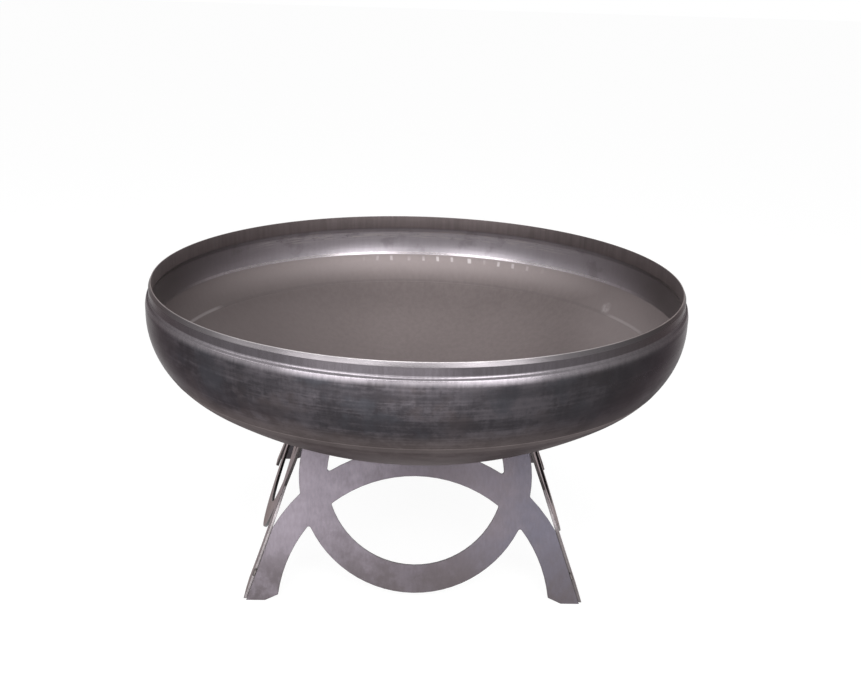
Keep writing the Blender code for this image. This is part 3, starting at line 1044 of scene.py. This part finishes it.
@dataclass
class BasePlate:
    """One laser-cut plate of the base, with its edges just broken."""

    side: Side
    lean: float = math.radians(20.0)
    edge_break: float = 0.0005
    notch_height: float = 0.160
    flat_angle: float = math.radians(0.5)
    corner_angle: float = math.radians(40.0)
    face_share: float = 0.99
    edge_share: float = 0.1

    def zone_of(self, face: bmesh.types.BMFace) -> PlateZone:
        """Tell which surface a face belongs to.

        Args:
            face: A face of the plate.

        Returns:
            The face's zone.
        """
        turn = Matrix.Rotation(-self.side.turn, 3, "Z")
        normal = turn @ face.normal
        through = Vector((0.0, math.cos(self.lean), -math.sin(self.lean)))
        leaning = abs(normal.dot(through))
        if leaning > self.face_share:
            return PlateZone.FACE
        centre = turn @ face.calc_center_median()
        outward = normal.x * centre.x > 0.0 and normal.z > self.edge_share
        clean = outward and leaning < self.edge_share and centre.z < self.notch_height
        return PlateZone.CORNER_EDGE if clean else PlateZone.BURNT_EDGE

    def build(self, effects: Effects) -> bpy.types.Object:
        """Soften a copy of the plate's solid and dress it.

        Args:
            effects: The shared node groups.

        Returns:
            The plate.
        """
        node = f"base_plate_{self.side.word}"
        bm = merged_copy(node)
        bmesh.ops.dissolve_limit(bm, angle_limit=self.flat_angle, verts=bm.verts[:], edges=bm.edges[:])
        rims = [edge for edge in bm.edges if edge.calc_face_angle(0.0) > self.corner_angle]
        bmesh.ops.bevel(bm, geom=rims, offset=self.edge_break, offset_type="OFFSET", segments=2,
                        profile=0.5, affect="EDGES", material=-1)
        for vert in bm.verts:
            vert.co.z = max(vert.co.z, 0.0)
        for face in bm.faces:
            face.material_index = self.zone_of(face).value
        materials = [
            PlateFaceFinish().material(effects, self.side),
            BURNT_EDGE.material(effects, self.side, self.lean),
            CORNER_EDGE.material(effects, self.side, self.lean),
        ]
        piece = add_piece(f"{node}_skin", bm, materials, sharp_angle=math.radians(25.0))
        for polygon in piece.data.polygons:
            polygon.use_smooth = polygon.material_index != PlateZone.FACE.value
        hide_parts(node)
        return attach(piece, "base")


@dataclass
class CornerBead:
    """A weld bead in a corner of the base, with the ripples of its run."""

    kind: Bead
    side: Side
    finish: Material
    ripple_pitch: float = 0.0024
    ripple_depth: float = 0.0003
    cuts: int = 2

    def build(self) -> bpy.types.Object:
        """Ripple a finer copy of the bead's solid and dress it.

        Returns:
            The bead.
        """
        node = self.kind.value + self.side.corner
        bm = merged_copy(node)
        bmesh.ops.subdivide_edges(bm, edges=bm.edges[:], cuts=self.cuts, use_grid_fill=True)
        bm.normal_update()
        for vert in bm.verts:
            wave = 0.5 - 0.5 * math.cos(math.tau * vert.co.z / self.ripple_pitch)
            vert.co -= vert.normal * self.ripple_depth * wave
        piece = add_piece(f"{node}_skin", bm, [self.finish], sharp_angle=math.radians(50.0))
        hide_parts(node)
        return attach(piece, "base")


@dataclass
class Softbox:
    """A rectangular studio lamp that looks at a point of the object."""

    name: str
    place: Triple
    size: Pair
    brightness: float
    aim: Triple = (0.0, 0.0, 0.3)

    def build(self) -> None:
        """Hang the lamp."""
        lamp = bpy.data.lights.new(self.name, "AREA")
        lamp.shape = "RECTANGLE"
        lamp.size, lamp.size_y = self.size
        lamp.energy = self.brightness * math.pi * self.size[0] * self.size[1]
        item = bpy.data.objects.new(self.name, lamp)
        item.visible_camera = False
        item.location = self.place
        item.rotation_euler = (Vector(self.aim) - Vector(self.place)).to_track_quat("-Z", "Y").to_euler()
        bpy.context.scene.collection.objects.link(item)


@dataclass
class Studio:
    """Camera, lamps, floor and surroundings of the picture."""

    camera_place: Triple = (-0.0407, -1.8996, 0.9987)
    heading: float = 0.0344
    down_tilt: float = 0.3345
    roll: float = 0.0310
    lens: float = 47.98
    sensor_width: float = 36.0
    floor_size: float = 40.0
    floor_colour: Colour = (0.85, 0.85, 0.85)
    floor_white: float = 0.85
    floor_glow: float = 1.1
    surround: float = 0.35
    softboxes: list[Softbox] = field(default_factory=lambda: [
        Softbox("front_left_softbox", (-1.42, -2.18, 1.2), (1.6, 1.7), 4.4),
        Softbox("front_right_softbox", (1.18, -2.32, 1.2), (1.4, 1.7), 4.9),
        Softbox("low_softbox", (0.05, -3.0, 0.55), (1.0, 0.5), 3.0, aim=(0.0, 0.0, 0.45)),
        Softbox("floor_card", (-0.45, -1.5, 0.03), (1.5, 0.8), 2.0, aim=(-0.45, -1.45, 1.0)),
        Softbox("high_softbox", (0.05, -2.2, 2.15), (2.2, 1.0), 3.4),
        Softbox("left_softbox", (-2.82, -0.92, 1.5), (1.2, 1.0), 1.5),
        Softbox("back_softbox", (0.0, 0.9, 3.0), (2.2, 1.6), 2.0),
    ])

    def build(self) -> None:
        """Set up everything that isn't part of the object."""
        self.build_camera()
        self.build_floor()
        self.build_world()
        for softbox in self.softboxes:
            softbox.build()
        bpy.context.scene.view_settings.view_transform = "Standard"

    @staticmethod
    def seen_directly(canvas: Canvas) -> Socket:
        """Tell rays of the camera, of a reflection or of a clear view from those of the lighting.

        Args:
            canvas: The material's or the world's canvas.

        Returns:
            A socket that is 1 for such rays.
        """
        path = canvas.node("ShaderNodeLightPath")
        seen = canvas.math("MAXIMUM", path.outputs["Is Camera Ray"], path.outputs["Is Glossy Ray"])
        return canvas.math("MAXIMUM", seen, path.outputs["Is Transmission Ray"])

    def build_camera(self) -> None:
        """Place the camera at the picture's viewpoint."""
        data = bpy.data.cameras.new("picture_camera")
        data.lens = self.lens
        data.sensor_width = self.sensor_width
        camera = bpy.data.objects.new("picture_camera", data)
        aimed = Matrix.Rotation(-self.heading, 3, "Z") @ Matrix.Rotation(
            0.5 * math.pi - self.down_tilt, 3, "X")
        turned = aimed @ Matrix.Rotation(self.roll, 3, "Z")
        camera.matrix_world = Matrix.Translation(self.camera_place) @ turned.to_4x4()
        bpy.context.scene.collection.objects.link(camera)
        bpy.context.scene.camera = camera

    def build_floor(self) -> None:
        """Lay a plain pale floor that stays white to the camera and keeps a soft shadow."""
        bm = bmesh.new()
        bmesh.ops.create_grid(bm, x_segments=1, y_segments=1, size=0.5 * self.floor_size)
        material = bpy.data.materials.new("studio_floor")
        material.use_nodes = True
        material.node_tree.nodes.clear()
        canvas = Canvas(material.node_tree)
        diffuse = canvas.node("ShaderNodeBsdfDiffuse", {"Color": (*self.floor_colour, 1.0)})
        glow = canvas.node("ShaderNodeEmission", {"Strength": self.floor_glow})
        white = canvas.times(self.seen_directly(canvas), self.floor_white)
        mix = canvas.node("ShaderNodeMixShader", {0: white, 1: diffuse.outputs[0], 2: glow.outputs[0]})
        canvas.node("ShaderNodeOutputMaterial", {"Surface": mix.outputs[0]})
        floor = add_piece("studio_floor", bm, [material], sharp_angle=math.radians(30.0))

    def build_world(self) -> None:
        """Surround the object with an even pale light that the camera sees as white."""
        world = bpy.data.worlds.new("studio_world")
        world.use_nodes = True
        world.node_tree.nodes.clear()
        canvas = Canvas(world.node_tree)
        strength = canvas.blend(self.seen_directly(canvas), self.surround, 1.0)
        background = canvas.node("ShaderNodeBackground", {"Color": (*WHITE, 1.0), "Strength": strength})
        canvas.node("ShaderNodeOutputWorld", {"Surface": background.outputs[0]})
        bpy.context.scene.world = world


def main() -> None:
    """Build the fire pit and its studio."""
    logging.basicConfig(level=logging.INFO, format="%(name)s: %(message)s")
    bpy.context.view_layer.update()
    effects = Effects()
    low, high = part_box("fire_bowl")
    FireBowl(radius=high.x, bottom=low.z, top=high.z).build(effects)
    weld_metal = WeldFinish().material(effects)
    for side in Side:
        BasePlate(side).build(effects)
        for kind in Bead:
            CornerBead(kind, side, weld_metal).build()
    Studio().build()


if __name__ == "__main__":
    main()
